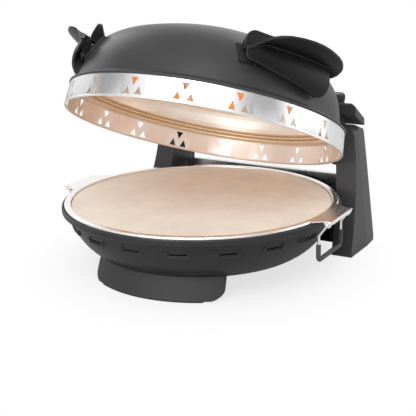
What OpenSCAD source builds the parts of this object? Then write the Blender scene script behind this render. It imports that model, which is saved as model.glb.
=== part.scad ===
// Countertop pizza oven: stone tray in a round base, and a domed lid hinged between two rear towers.
// Sizes are in millimetres. The lid's pieces are drawn closed and level, then swung open by lid_open.

/* [Base bowl] */
// How far the bowl's rolled rim stands outside the tray's hoop
rim_over = 3; // [2.5:0.5:8]
// Height of the rim's top above the table
rim_z = 81.5; // [80:0.5:82.5]
// How far inside the rim the bowl's wall leaves its flat floor
floor_inset = 43; // [39:1:51]
// Height of the bowl's underside above the table
bowl_floor_z = 26; // [22:1:30]
// Thickness of the pressed steel bowl
bowl_wall = 1.6; // [1:0.1:2]
// Number of pressed vents round the bowl
louvre_count = 18; // [6:1:18]
// Length of one pressed vent
louvre_length = 27; // [15:1:32]
// Height of one pressed vent
louvre_height = 7; // [5:0.5:9]
// Height of the pressed vents' lower edge
louvre_z = 57; // [50:0.5:60]

/* [Tray and stone] */
// Outer radius of the tray's steel hoop
tray_r = 164; // [161:0.5:164.1]
// Height of the hoop
hoop_height = 12; // [10:0.5:14]
// Width of the hoop's flat top
hoop_width = 7.8; // [6:0.2:10]
// Thickness of the hoop's steel
hoop_wall = 1.2; // [0.8:0.1:1.5]
// Thickness of the stone
stone_thick = 8.5; // [7:0.5:8.8]
// How far the tray lifts out before it passes the open lid
tray_lift = 6.5; // [3:0.5:6.5]

/* [Tray handles] */
// How far the side tabs reach beyond the hoop
tab_out = 17; // [14:1:20]
// Half width of a tab at its outer edge
tab_half = 31; // [29:1:36]
// Half width of a tab where it meets the hoop
tab_root_half = 40; // [38:1:46]
// Distance of the bail's pivot inside the tab's edge
bail_inset = 5.5; // [4.5:0.5:6.5]
// Radius of the bail's wire
wire_r = 1.6; // [1.4:0.1:2]
// Half length of the bail's grip
bail_half = 32.5; // [32:0.5:36]
// How far the grip hangs below the pivot
bail_drop = 41.5; // [34:0.5:44]
// Outer radius of the grip's sleeve
sleeve_r = 2.7; // [2.5:0.1:3.2]

/* [Lid] */
// How far the lid's lip stands outside the tray's hoop
lip_over = 2.9; // [1:0.1:3.5]
// Gap between the closed lid's lip and the tray's hoop
lip_gap = 0.5; // [0.4:0.1:2]
// Height of the steel band
band_height = 26; // [26:0.5:28]
// How much narrower the band is at its top
band_taper = 2.1; // [1:0.1:3]
// Thickness of the band
band_wall = 1; // [0.8:0.1:1.4]
// Height of the dome's crown above the lip
dome_height = 122; // [118:1:128]
// Thickness of the dome
dome_wall = 1.8; // [1.2:0.1:2.4]
// Number of vent groups round the band
vent_count = 18; // [6:1:18]
// Width of one triangular vent
vent_width = 8.8; // [5:0.2:10]
// Height of one triangular vent
vent_height = 9.2; // [6:0.2:9.6]
// Angle by which the lid stands open
lid_open = 23.94; // [18:0.5:26]

/* [Hinge] */
// Distance of the hinge behind the bowl's rim
hinge_behind = 13.2; // [11:0.2:15]
// Height of the hinge
hinge_z = 107.2; // [105:0.2:110]
// Radius of a hinge pin
pin_r = 5; // [4:0.5:6]
// Running clearance round a hinge pin
pin_play = 0.06; // [0.02:0.01:0.1]
// Inner face of a lid arm, from the middle
arm_in = 98; // [96:0.5:99]
// Thickness of a lid arm
arm_thick = 10; // [8:0.5:10.5]

/* [Towers] */
// Inner edge of a tower's foot, from the middle
tower_in = 131; // [130:0.5:132]
// Width of a tower
tower_width = 26; // [24:0.5:30]
// Inward lean of a tower for each millimetre of height
tower_lean = 0.122; // [0.1:0.002:0.13]
// Height of a tower's edge below its chamfered top
tower_top = 147; // [144:1:150]
// How far the towers reach behind the hinge
tower_behind = 17.8; // [16.8:0.5:23.8]
// Thickness of a tower's moulded wall
tower_wall = 3; // [2:0.2:3.4]
// Thickness of the rubber pads
pad_thick = 1.5; // [1:0.1:2]

/* [Lid handles] */
// Bearing of a handle, from the front
handle_angle = 60; // [56:1:64]
// Half length of a handle
handle_half = 58; // [56:1:60]
// How far a handle stands out beyond the lid's lip
handle_out = 14.1; // [11.1:0.5:17.1]

/* [Front foot] */
// How much wider the foot is at the table than at the bowl
foot_flare = 10.5; // [8:0.5:13]
// Half angle that the foot spans
foot_half_angle = 38; // [34:1:42]
// Thickness of the foot's skirt
foot_wall = 4; // [3:0.5:5]

/* [Heating] */
// Radius of a heating element's tube
element_r = 3.6; // [3:0.1:4]
// Radius of the upper element's ring
upper_ring_r = 110; // [95:1:114]
// Radius of the lower element's ring
lower_ring_r = 100; // [85:1:105]

/* [Thermostat] */
// Radius of the thermostat's knob
knob_r = 10.8; // [9:0.1:12]
// Height of the knob
knob_height = 9.5; // [8:0.5:12]

/* [Hidden] */
$fn = 96;

// Colours
black = [0.10, 0.10, 0.105];
charcoal = [0.16, 0.16, 0.17];
steel = [0.80, 0.80, 0.81];
cream = [0.90, 0.86, 0.80];
tan = [0.74, 0.60, 0.46];
grey = [0.33, 0.33, 0.34];
glow = [0.95, 0.45, 0.15];
brass = [0.72, 0.60, 0.35];

// Clearances
seat = 0.1; // between pieces of one body that are screwed together
air = 0.4; // between pieces that move apart
big = 400; // longer than any piece that it cuts

// Levels and places that follow from the driving dimensions
rim_r = tray_r + rim_over;
bowl_floor_r = rim_r - floor_inset;
hinge_y = rim_r + hinge_behind;
tower_rear = hinge_y + tower_behind;
bowl_y = -(tower_rear - rim_r) / 2;
tab_reach = tray_r + tab_out;
bail_pivot_x = tab_reach - bail_inset;
hoop_top = rim_z + 3.1;
hoop_z = hoop_top - hoop_height;
ledge_z = hoop_z - 0.3;
ledge_r = tray_r - 12;
skirt_z = hoop_top - 8.4;
step_r = tray_r - hoop_width + hoop_wall + 0.6;
stone_r = tray_r - hoop_width - 0.3;
lid_z = hoop_top + lip_gap;
lip_r = tray_r + lip_over;
band_top_r = lip_r - band_taper;
pivot_z = hoop_top - 4.6;
arm_out = arm_in + arm_thick;

// A cubic curve with n steps between its end points
function curve(a, b, c, d, n) = [for (i = [0 : n]) let (t = i / n, s = 1 - t)
  s * s * s * a + 3 * s * s * t * b + 3 * s * t * t * c + t * t * t * d];

// An arc of a circle as points, from angle a to angle b
function arc(x, y, r, a, b, n) = [for (i = [0 : n]) let (t = a + (b - a) * i / n)
  [x + r * cos(t), y + r * sin(t)]];

// A path moved sideways by t, to its left as it runs
function beside(path, t) = [for (i = [0 : len(path) - 1]) let (
    p = path[max(i - 1, 0)], q = path[min(i + 1, len(path) - 1)], d = (q - p) / norm(q - p))
  path[i] + t * [-d[1], d[0]]];

// An open path with its corners cut, so that it bends smoothly
function softened(path) = concat([path[0]], [for (i = [0 : len(path) - 2]) each
  [path[i] * 0.75 + path[i + 1] * 0.25, path[i] * 0.25 + path[i + 1] * 0.75]], [path[len(path) - 1]]);

function reversed(path) = [for (i = [len(path) - 1 : -1 : 0]) path[i]];

// The closed outline of a sheet of thickness t along a path
function sheet(path, t) = concat(path, reversed(beside(path, t)));

// Frames: the bowl's axis, the swung lid, and the two sides
module on_base() translate([0, bowl_y, 0]) children();
module on_lid() on_base() translate([0, hinge_y, hinge_z]) rotate([-lid_open, 0, 0])
  translate([0, -hinge_y, -hinge_z]) children();
module left_side() mirror([1, 0, 0]) children();
module both_sides() { children(); mirror([1, 0, 0]) children(); }
module round_the_axis(n, start = 0) for (i = [0 : n - 1]) rotate([0, 0, start + i * 360 / n]) children();

// A round rod between two points
module rod(a, b, r) {
  d = b - a;
  translate(a) rotate([0, acos(d[2] / norm(d)), atan2(d[1], d[0])]) cylinder(r = r, h = norm(d), $fn = 32);
}

// A wire through points. bends gives each corner's radius, and 0 is a sharp corner with a forged ball
module wire(points, bends, r) {
  last = len(points) - 1;
  unit = [for (i = [0 : last - 1]) (points[i + 1] - points[i]) / norm(points[i + 1] - points[i])];
  // the straight length that each corner's bend takes up
  taken = [for (i = [0 : last])
    i == 0 || i == last ? 0 : bends[i - 1] * tan(acos(unit[i - 1] * unit[i]) / 2)];
  for (i = [0 : last - 1]) rod(points[i] + unit[i] * taken[i], points[i + 1] - unit[i] * taken[i + 1], r);
  for (i = [1 : last - 1]) if (bends[i - 1] == 0) translate(points[i]) sphere(r * 1.04, $fn = 32);
  else {
    u = unit[i - 1];
    across = unit[i] - u * (unit[i] * u);
    n = across / norm(across);
    w = cross(u, n);
    c = points[i] - u * taken[i] + n * bends[i - 1];
    multmatrix([[-n[0], u[0], w[0], c[0]], [-n[1], u[1], w[1], c[1]], [-n[2], u[2], w[2], c[2]],
        [0, 0, 0, 1]])
      rotate_extrude(angle = acos(u * unit[i])) translate([bends[i - 1], 0]) circle(r, $fn = 32);
  }
}

// A straight prism along X, drawn as an outline of Y and Z
module along_x(x0, x1) translate([x0, 0, 0]) rotate([90, 0, 90]) linear_extrude(x1 - x0) children();

// A straight prism along Y, drawn as an outline of X and Z
module along_y(y0, y1) translate([0, y1, 0]) rotate([90, 0, 0]) linear_extrude(y1 - y0) children();

// A small pan-head screw that points down, with a cross recess
module screw(r, length) difference() {
  union() {
    cylinder(r = r, h = 1.6, $fn = 24);
    translate([0, 0, -length]) cylinder(r = r * 0.5, h = length + 0.1, $fn = 24);
  }
  for (a = [0, 90]) rotate([0, 0, a]) translate([-r * 0.6, -0.4, 0.8]) cube([r * 1.2, 0.8, 1]);
}

// ---------- Base bowl ----------

// The bowl's outer wall, from its floor to the underside of the rim
bowl_top_r = rim_r - 9.5;
bowl_top_z = rim_z - 11.5;
bowl_path = curve([bowl_floor_r, bowl_floor_z], [bowl_floor_r + 21, bowl_floor_z + 11.7],
  [bowl_top_r - 4.4, bowl_top_z - 16.2], [bowl_top_r, bowl_top_z], 14);

module bowl_section() {
  inner = [for (p = beside(bowl_path, bowl_wall)) if (p[1] < ledge_z - bowl_wall - 1) p];
  polygon(concat(
    [[0, bowl_floor_z]], bowl_path,
    // the step round the hoop's shelf, then the bead round its skirt
    [[step_r + 1.9, bowl_top_z + 1.2], [step_r + 2.2, bowl_top_z + 2], [step_r + 2.2, skirt_z - 1.8],
     [rim_r - 3, skirt_z - 1.8]],
    arc(rim_r - 1.6, skirt_z, 1.6, -60, 0, 5), arc(rim_r - 1.2, rim_z - 1.2, 1.2, 0, 180, 8),
    [[rim_r - 2.4, skirt_z - 0.3], [step_r, skirt_z - 0.3], [step_r, ledge_z], [ledge_r, ledge_z],
     [ledge_r, ledge_z - bowl_wall], [inner[len(inner) - 1][0] + 0.6, ledge_z - bowl_wall]],
    reversed(inner),
    [[0, bowl_floor_z + bowl_wall]]));
}

module bowl_solid(extra) rotate_extrude() polygon(concat([[0, bowl_floor_z - 1]],
  [for (p = beside(bowl_path, -extra)) [max(p[0], 0), p[1]]],
  [[rim_r + extra, bowl_top_z - extra], [rim_r + extra, rim_z + 40], [0, rim_z + 40]]));

// The radius of the bowl's outer wall at a height
function bowl_r(z) = lookup(z, [for (p = bowl_path) [p[1], p[0]]]);

louvre_proud = 1.8;

// A pressed vent: a scoop whose lower lip stands proud, with a slot above it
module louvre(proud) {
  r = bowl_r(louvre_z + louvre_height / 2);
  half = louvre_length / 2;
  translate([0, -r + 6, 0]) along_y(-proud - 6, 0) polygon(concat(
    arc(half - 2.6, louvre_z + 2.6, 2.6, -90, 0, 4), [[half, louvre_z + louvre_height]],
    [[half - 2.2, louvre_z + louvre_height]], arc(half - 3.4, louvre_z + 3.4, 1.2, 0, -90, 3),
    arc(-half + 3.4, louvre_z + 3.4, 1.2, -90, -180, 3), [[-half + 2.2, louvre_z + louvre_height]],
    [[-half, louvre_z + louvre_height]], arc(-half + 2.6, louvre_z + 2.6, 2.6, 180, 270, 4)));
}

module louvre_slot() {
  half = louvre_length / 2 - 4;
  translate([0, -bowl_r(louvre_z) - 10, louvre_z + 3.6]) translate([-half, 0, 0]) cube([2 * half, 30, 2]);
}

module base_bowl() color(black) on_base() difference() {
  union() {
    rotate_extrude() bowl_section();
    round_the_axis(louvre_count) intersection() {
      louvre(6);
      difference() { bowl_solid(louvre_proud); bowl_solid(-0.5); }
    }
  }
  round_the_axis(louvre_count) louvre_slot();
}

pan_z = bowl_floor_z + 14;
pan_thick = 0.8;
module base_reflector() color(steel) on_base() difference() {
  rotate_extrude() polygon(sheet(concat([[0, pan_z]],
    curve([bowl_floor_r - 12, pan_z], [bowl_floor_r + 10, pan_z + 2], [ledge_r - 3, pan_z + 16],
      [ledge_r + 1.3, ledge_z - bowl_wall - 0.6], 8)), pan_thick));
  at_legs(lower_ring_r) translate([0, 0, pan_z - 10]) cylinder(r = element_r + 0.5, h = 20, $fn = 32);
}

lower_z = pan_z + 16;
module at_legs(ring_r) for (a = [98, 82]) rotate([0, 0, a]) translate([ring_r, 0, 0]) children();
module ring_element(ring_r, leg_z, leg_height) {
  // an open ring with two terminals
  rotate([0, 0, 98]) rotate_extrude(angle = 344) translate([ring_r, 0]) circle(element_r, $fn = 24);
  at_legs(ring_r) {
    sphere(element_r, $fn = 24);
    translate([0, 0, min(leg_z, 0)]) cylinder(r = element_r, h = leg_height, $fn = 24);
  }
}

module lower_element() color(steel) on_base() translate([0, 0, lower_z]) ring_element(lower_ring_r, -24, 24);

clip_count = 4;
module lower_element_clips() color(steel) on_base() round_the_axis(clip_count, 45) difference() {
  clip_z = pan_z + pan_thick + seat;
  saddle_r = element_r + 3 * seat;
  translate([lower_ring_r - 7, -5, clip_z]) cube([14, 10, lower_z + 4 - clip_z]);
  translate([lower_ring_r - 5.4, -6, clip_z + 1.2]) cube([10.8, 12, lower_z - element_r - clip_z - 2.4]);
  translate([lower_ring_r, -6, lower_z]) rotate([-90, 0, 0]) cylinder(r = saddle_r, h = 12, $fn = 32);
  translate([lower_ring_r - saddle_r, -6, lower_z]) cube([2 * saddle_r, 12, 10]);
}

bottom_r = bowl_floor_r - 20;
module bottom_plate() color(charcoal) on_base() difference() {
  translate([0, 0, bowl_floor_z - 2]) cylinder(r = bottom_r, h = 2);
  round_the_axis(6, 30) translate([bottom_r - 9, 0, 0]) cylinder(r = 2.1, h = 60, $fn = 24);
  for (i = [-4 : 4]) translate([i * 12 - 2, -26, 0]) cube([4, 52, 60]);
}

module bottom_screws() color(steel) on_base() {
  round_the_axis(6, 30) translate([bottom_r - 9, 0, bowl_floor_z - 2]) rotate([180, 0, 0]) screw(3.6, 1.9);
  at_foot_screws() translate([0, 0, bowl_floor_z - 3]) rotate([180, 0, 0]) screw(3.6, 2.8);
}

// ---------- Feet ----------

foot_top_r = bowl_floor_r + 1;
foot_r = foot_top_r + foot_flare;
module at_foot_screws() for (a = [-24, 0, 24]) rotate([0, 0, a]) translate([0, -bottom_r - 9, 0]) children();

module front_foot() color(charcoal) on_base() {
  bottom_half = foot_r * sin(foot_half_angle);
  top_half = bottom_half - 4;
  corner = 10;
  difference() {
    intersection() {
      rotate_extrude() polygon([[foot_r - foot_wall, pad_thick], [foot_r, pad_thick],
        [foot_top_r + 1.6, bowl_floor_z + 3], [foot_top_r - foot_wall, bowl_floor_z + 3]]);
      along_y(-big, 0) polygon(concat(
        arc(bottom_half - corner, pad_thick + corner, corner, -90, 0, 8), [[top_half, 60], [-top_half, 60]],
        arc(-bottom_half + corner, pad_thick + corner, corner, 180, 270, 8)));
    }
    bowl_solid(seat);
  }
  // the flange that screws to the bowl's floor, and its ribs
  difference() {
    intersection() {
      rotate_extrude() polygon([[bottom_r + 1, bowl_floor_z - 3], [foot_top_r - 1, bowl_floor_z - 3],
        [foot_top_r - 1, bowl_floor_z - seat], [bottom_r + 1, bowl_floor_z - seat]]);
      translate([-top_half + 2, -big, 0]) cube([2 * top_half - 4, big, 60]);
    }
    at_foot_screws() cylinder(r = 2.1, h = 60, $fn = 24);
  }
  for (a = [-32, -16, 16, 32]) rotate([0, 0, a]) along_x(-1.5, 1.5) polygon([
    [-bottom_r - 2, bowl_floor_z - 2.9], [-foot_top_r + 2, bowl_floor_z - 2.9], [-foot_r + foot_wall + 5, 8],
    [-foot_r + foot_wall + 0.5, 8], [-foot_r + foot_wall + 1, 6], [-foot_r + foot_wall + 9, 6]]);
}

module foot_pads() color(charcoal) on_base() {
  intersection() {
    difference() {
      cylinder(r = foot_r - 0.6, h = pad_thick);
      translate([0, 0, -1]) cylinder(r = foot_r - foot_wall + 0.4, h = 9);
    }
    translate([-66, -big, 0]) cube([132, big - 20, 9]);
  }
  both_sides() for (y = [tower_front_y - 27, hinge_y - 4.2]) translate([tower_in + tower_width / 2, y, 0])
    cylinder(r = 8, h = pad_thick, $fn = 48);
}

// ---------- Towers ----------

// A tower's side view: a front face that flares at the table, a chamfered top and a leaning back
tower_front_y = hinge_y - 41.2;
function tower_side(inset) = concat(
  [[tower_rear - inset, pad_thick + inset]],
  curve([tower_front_y - 44.5 + inset, pad_thick + inset], [tower_front_y - 33 + inset, 28 + inset],
    [tower_front_y + inset, 72],
    [tower_front_y + inset, tower_top - inset], 12),
  [[tower_front_y + 10 + inset, tower_top + 9 - inset], [tower_front_y + 22, tower_top + 7 - inset],
   [tower_front_y + 36 - inset, tower_top - inset], [tower_rear - 12 - inset, tower_top - 8 - inset],
   [tower_rear - 4 - inset, 105]]);

// A tower's plan at the table, which leans inwards as it rises
function tower_plan(inset) = [[tower_in + inset, 60], [tower_in + tower_width - inset, 60],
  [tower_in + tower_width + 1 - inset, tower_front_y + 11],
  [tower_in + tower_width - 1 - inset, hinge_y - 4.2],
  [tower_in + tower_width - 10 - inset, tower_rear + 4], [tower_in + inset, tower_rear + 4]];

module tower_block(inset) intersection() {
  hull() for (z = [0, 180]) translate([-tower_lean * z, 0, z]) linear_extrude(0.01)
    polygon(tower_plan(inset));
  along_x(0, big) polygon(tower_side(inset));
  along_y(0, big) polygon([[60, -1], [300, -1], [tower_face(tower_top) + tower_width, tower_top - inset],
    [tower_face(tower_top) + tower_width - 10, tower_top + 9 - inset], [60, tower_top + 9 - inset]]);
}

// Inner face of a tower at a height
function tower_face(z) = tower_in - tower_lean * z;

seam = tower_wall + 2.5;
module tower_rear_slab(depth) along_x(0, big) polygon([[tower_rear - depth, -1], [tower_rear + 9, -1],
  [tower_rear + 9, 200], [tower_rear - 12 - depth, 200], [tower_rear - 12 - depth, tower_top - 8],
  [tower_rear - 4 - depth, 105]]);

boss_r = 10.5;
boss_out = tower_face(hinge_z) + 14.5;
pin_out = boss_out - 3.4;
module tower() difference() {
  union() {
    difference() {
      tower_block(0);
      difference() { tower_block(tower_wall); translate([0, 0, tower_top - 12]) cube([big, big, 40]); }
    }
    // the boss that carries the hinge pin
    translate([arm_out + air, hinge_y, hinge_z]) rotate([0, 90, 0])
      cylinder(r = boss_r, h = boss_out - arm_out - air);
  }
  tower_rear_slab(seam);
  translate([0, hinge_y, hinge_z]) rotate([0, 90, 0]) cylinder(r = pin_r + pin_play, h = pin_out);
}

module tower_back() {
  difference() {
    intersection() { tower_block(0); tower_rear_slab(seam - seat); }
    difference() { tower_block(tower_wall); tower_rear_slab(tower_wall); }
    at_back_screws() {
      translate([0, 0, -20]) cylinder(r = 1.9, h = 60, $fn = 24);
      cylinder(r = 3.5, h = 20, $fn = 24);
    }
  }
}

// The seats of a back cover's screws, with their axes pointing to the rear
module at_back_screws() for (z = [30, 118])
  translate([tower_face(z) + 11, rear_face(z) - 1.9, z]) rotate([-90, 0, 0]) children();

module right_tower() color(black) on_base() tower();
module left_tower() color(black) on_base() left_side() tower();
module right_tower_back() color(charcoal) on_base() tower_back();
module left_tower_back() color(charcoal) on_base() left_side() tower_back();

function rear_face(z) = z < 105 ? tower_rear - 4 * z / 105
  : tower_rear - 4 - 8 * (z - 105) / (tower_top - 113);
module tower_back_screws() color(steel) on_base() both_sides() at_back_screws()
  translate([0, 0, 0.05]) screw(3.2, 3.4);

// The head above each tower, set on a neck over an open shadow gap
head_top = 184.5;
head_in = tower_in - 32;
head_slope = 0.62;
module tower_head() intersection() {
  union() {
    along_x(head_in, big) polygon([
      [tower_front_y, 170], [tower_front_y, head_top - 1.5], [tower_front_y + 1.5, head_top],
      [tower_front_y + 18, head_top - 9.5], [tower_front_y + 31, 163.5], [tower_front_y + 33, 154],
      [tower_front_y + 31, 152.6]]);
    along_x(head_in + 13, head_in + 22) polygon([
      [tower_front_y + 8, tower_top + 9.4], [tower_front_y + 8, 168],
      [tower_front_y + 24, 160], [tower_front_y + 21, tower_top + 7.6]]);
  }
  // the top's rounded sides, which follow its slope
  multmatrix([[1, 0, 0, 0], [0, 1, 0, 0], [0, -head_slope, 1, head_slope * (tower_front_y + 2)],
      [0, 0, 0, 1]])
    along_y(0, big) polygon([[head_in, 0], [head_in + 42, 0], [head_in + 42, head_top - 5],
      [head_in + 36, head_top + 0.1],
      [head_in + 2, head_top + 0.1], [head_in, head_top - 2]]);
}

module right_tower_head() color(charcoal) on_base() difference() {
  union() {
    tower_head();
    // the round seat under the knob
    translate([knob_x, knob_y, 168]) cylinder(r = knob_r, h = head_top - 168);
  }
  translate([knob_x, knob_y, head_top - 12]) cylinder(r = 3.2, h = 20, $fn = 32);
  translate([knob_x, knob_y, 171.5]) cylinder(r = 7.2, h = head_top - 4 - 171.5, $fn = 48);
  // the way for the thermostat's wires
  translate([knob_x, knob_y + 3, 150]) cylinder(r = 2.5, h = 25, $fn = 24);
}
module left_tower_head() color(charcoal) on_base() left_side() tower_head();

module hinge_pins() color(steel) on_base() both_sides()
  translate([arm_in - 2.2, hinge_y, hinge_z]) rotate([0, 90, 0]) {
  cylinder(r = pin_r, h = pin_out - (arm_in - 2.2));
  cylinder(r = pin_r + 2.5, h = 1.8);
}

// ---------- Rear ----------

housing_top = 62;
housing_front_y = tower_front_y - 21;
module rear_housing() color(charcoal) on_base() difference() {
  along_y(housing_front_y, tower_rear - 8) polygon([[-tower_face(10) + seat, 10], [tower_face(10) - seat, 10],
    [tower_face(housing_top) - seat, housing_top], [-tower_face(housing_top) + seat, housing_top]]);
  bowl_solid(louvre_proud + 2 * seat);
  along_y(housing_front_y, tower_rear - 8 - tower_wall) polygon([[-tower_in + 13, 13], [tower_in - 13, 13],
    [tower_in - 15, housing_top - 3], [-tower_in + 15, housing_top - 3]]);
  translate([gland_x, 0, gland_z]) rotate([-90, 0, 0]) cylinder(r = 7, h = big, $fn = 48);
  // cooling slots in the back
  for (i = [-5 : 5]) translate([i * 8 - 2, tower_rear - 20, 30]) cube([4, 40, 22]);
}

bridge_y = hinge_y - 7.2;
module rear_bridge() color(steel) on_base() {
  half = tower_face(hoop_top) - 0.5;
  along_x(-half, half) polygon([[bridge_y, housing_top + seat], [bridge_y + 10, housing_top + seat],
    [bridge_y + 10, housing_top + 1.2 + seat], [bridge_y + 1.2, housing_top + 1.2 + seat],
    [bridge_y + 1.2, hoop_top - 1.2], [bridge_y + 7, hoop_top - 1.2], [bridge_y + 7, hoop_top],
    [bridge_y, hoop_top]]);
}

gland_x = -70;
gland_z = 24;
module cord_gland() color(black) on_base() translate([gland_x, tower_rear - 14, gland_z]) rotate([-90, 0, 0])
  difference() {
    union() {
      cylinder(r = 7 - seat, h = 8, $fn = 48);
      translate([0, 0, 6 + seat]) cylinder(r = 9.5, h = 2.4, $fn = 48);
      translate([0, 0, 8]) cylinder(r = 6, h = 5, $fn = 48);
    }
    translate([0, 0, -1]) cylinder(r = 3.6, h = 20, $fn = 48);
  }

module terminal_block() color(cream) on_base() translate([gland_x + 26, tower_rear - 26, 13 + seat]) {
  difference() {
    cube([44, 14, 14]);
    for (i = [0 : 3]) translate([6 + i * 10.6, 7, 6]) cylinder(r = 2.4, h = 20, $fn = 24);
    for (i = [0 : 2]) translate([10.6 + i * 10.6, -1, 9]) cube([1.4, 20, 9]);
  }
}

knob_x = head_in + 11.6;
knob_y = tower_front_y + 11;
module thermostat() color(steel) on_base() translate([knob_x, knob_y, 0]) {
  translate([0, 0, 171.5 + seat]) cylinder(r = 6.8, h = head_top - 4 - 2 * seat - 171.5, $fn = 48);
  translate([0, 0, head_top - 5]) cylinder(r = 3, h = 5 + 7, $fn = 32);
}

module thermostat_knob() color(charcoal) on_base() translate([knob_x, knob_y, head_top + air]) difference() {
  union() {
    cylinder(r1 = knob_r - 1, r2 = knob_r, h = knob_height - 1.2);
    cylinder(r = knob_r - 1.2, h = knob_height);
    round_the_axis(24) translate([knob_r - 1.2, -0.5, 1]) cube([1.7, 1, knob_height - 3]);
  }
  translate([0, 0, -1]) cylinder(r = 3 + pin_play, h = 9, $fn = 32);
  translate([-0.5, 2, knob_height - 0.6]) cube([1, knob_r - 3, 2]);
}

// ---------- Tray ----------

module pizza_stone() color(cream) on_base() translate([0, 0, hoop_z + hoop_wall + seat])
  rotate_extrude() polygon([[0, 0], [stone_r, 0], [stone_r, stone_thick - 1], [stone_r - 1, stone_thick],
    [0, stone_thick]]);

module hoop_section() {
  inner_r = tray_r - hoop_width;
  polygon(concat(
    [[ledge_r - 4, hoop_z], [inner_r + hoop_wall, hoop_z], [inner_r + hoop_wall, hoop_top - hoop_wall]],
    [[tray_r - hoop_wall, hoop_top - hoop_wall], [tray_r - hoop_wall, skirt_z], [tray_r, skirt_z]],
    arc(tray_r - 2, hoop_top - 2, 2, 0, 90, 6), arc(inner_r + 1.5, hoop_top - 1.5, 1.5, 90, 180, 5),
    [[inner_r, hoop_z + hoop_wall], [ledge_r - 4, hoop_z + hoop_wall]]));
}

lug_y = tab_half - 3.8;
lug_thick = 1.6;
module tab() difference() {
  union() {
    difference() {
      translate([0, 0, hoop_top - hoop_wall]) linear_extrude(hoop_wall) polygon([
        [tray_r - 14, -tab_root_half], [tray_r - 3, -tab_root_half], [tab_reach - 8, -tab_half],
        [tab_reach, -tab_half],
        [tab_reach, tab_half], [tab_reach - 8, tab_half], [tray_r - 3, tab_root_half],
        [tray_r - 14, tab_root_half]]);
      cylinder(r = tray_r - 1.5, h = big);
    }
    // the turned-down outer edge and the two lugs
    translate([tab_reach - hoop_wall, -lug_y, hoop_top - 4]) cube([hoop_wall, 2 * lug_y, 4]);
    for (s = [-1, 1]) translate([0, s * (lug_y + lug_thick / 2) + lug_thick / 2, 0]) rotate([90, 0, 0])
      linear_extrude(lug_thick) union() {
        translate([bail_pivot_x, pivot_z]) circle(wire_r + 2.2, $fn = 48);
        polygon([[bail_pivot_x - 4.2, pivot_z], [bail_pivot_x + 4.2, pivot_z],
          [tab_reach, hoop_top - 3], [tab_reach, hoop_top - 0.2], [bail_pivot_x - 6, hoop_top - 0.2]]);
      }
  }
  translate([bail_pivot_x, 0, pivot_z]) rotate([90, 0, 0])
    cylinder(r = wire_r + pin_play, h = 100, center = true, $fn = 48);
}

module tray_hoop() color(steel) on_base() {
  rotate_extrude() hoop_section();
  both_sides() tab();
}

// A bail's wire, from the pin in one lug round the grip to the other
bail_in = 9;
bail_bend_z = pivot_z - 12.5;
bail_grip_z = pivot_z - bail_drop;
bail_bend = 5.5;
bail_x = bail_pivot_x - bail_in;
bail_side = [[bail_pivot_x, lug_y - 2, pivot_z], [bail_pivot_x, bail_half, pivot_z],
  [bail_x, bail_half, bail_bend_z], [bail_x, bail_half, bail_grip_z]];
function other_side(path) = [for (p = reversed(path)) [p[0], -p[1], p[2]]];
module bail() wire(concat(bail_side, other_side(bail_side)), [0, 0, bail_bend, bail_bend, 0, 0], wire_r);

sleeve_top = pivot_z - 23;
module bail_sleeve() {
  leg = [[bail_x, bail_half, sleeve_top], [bail_x, bail_half, bail_grip_z]];
  bore = [[bail_x, bail_half, sleeve_top + 3], [bail_x, bail_half, bail_grip_z]];
  difference() {
    wire(concat(leg, other_side(leg)), [bail_bend, bail_bend], sleeve_r);
    wire(concat(bore, other_side(bore)), [bail_bend, bail_bend], wire_r + pin_play);
  }
}

module right_bail() color(steel) on_base() bail();
module left_bail() color(steel) on_base() left_side() bail();
module right_bail_sleeve() color(grey) on_base() bail_sleeve();
module left_bail_sleeve() color(grey) on_base() left_side() bail_sleeve();

// ---------- Lid ----------

// The dome's outer surface, from the bead over the band to the crown
shoulder_z = dome_height - 25;
shoulder_r = lip_r - 52.9;
dome_path = concat(
  arc(band_top_r - 0.4, band_height + 1.7, 1.7, -90, 90, 6),
  [[band_top_r - 3, band_height + 4.2]],
  curve([band_top_r - 6.2, band_height + 6.5], [band_top_r - 12.3, band_height + 34],
    [band_top_r - 15.8, shoulder_z - 15], [shoulder_r, shoulder_z], 14),
  [for (p = curve([shoulder_r, shoulder_z], [shoulder_r - 36, shoulder_z + 14.5],
      [shoulder_r / 3, dome_height - 0.4], [0, dome_height], 8)) if (p[0] < shoulder_r - 1) p]);

module at_lip() translate([0, 0, lid_z]) children();

function dome_r(h) = lookup(h, [for (p = dome_path) if (p[1] > band_height + 4.1) [p[1], p[0]]]);

module dome_section() {
  inner = [for (p = beside(dome_path, dome_wall)) [max(p[0], 0), p[1]]];
  polygon(concat(dome_path, [[0, dome_height - dome_wall]],
    reversed([for (i = [7 : len(inner) - 1]) if (inner[i][0] > 0) inner[i]]),
    [[band_top_r - band_wall - 2.4, band_height + 2.2], [band_top_r - band_wall - 2.4, band_height]]));
}

// Everything inside the dome's outer surface, grown by extra, to cut what sits on it
module dome_solid(extra) at_lip() rotate_extrude() polygon(concat([[0, 0], [lip_r + extra, 0]],
  [[band_top_r + extra, band_height]], [for (p = beside(dome_path, -extra)) [max(p[0], 0), p[1]]],
  [[0, dome_height + extra]]));

// A place on the dome's surface, with Z standing out of it
module on_dome(bearing, h) {
  tilt = atan((dome_r(h - 2) - dome_r(h + 2)) / 4);
  at_lip() rotate([0, 0, bearing]) translate([dome_r(h), 0, h]) rotate([0, 90 - tilt, 0]) children();
}

// The screws driven from inside the dome into the handles and the arms
module at_handle_screws() both_sides() for (a = [-12, 12])
  on_dome(handle_angle - 90 + a, handle_z - 9) children();
module at_arm_screws() both_sides() for (h = [44, 60])
  on_dome(acos((arm_in + arm_thick / 2) / dome_r(h)), h) children();
module inner_screw(length) translate([0, 0, -dome_wall - 0.25]) rotate([180, 0, 0]) screw(3, length);

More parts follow.
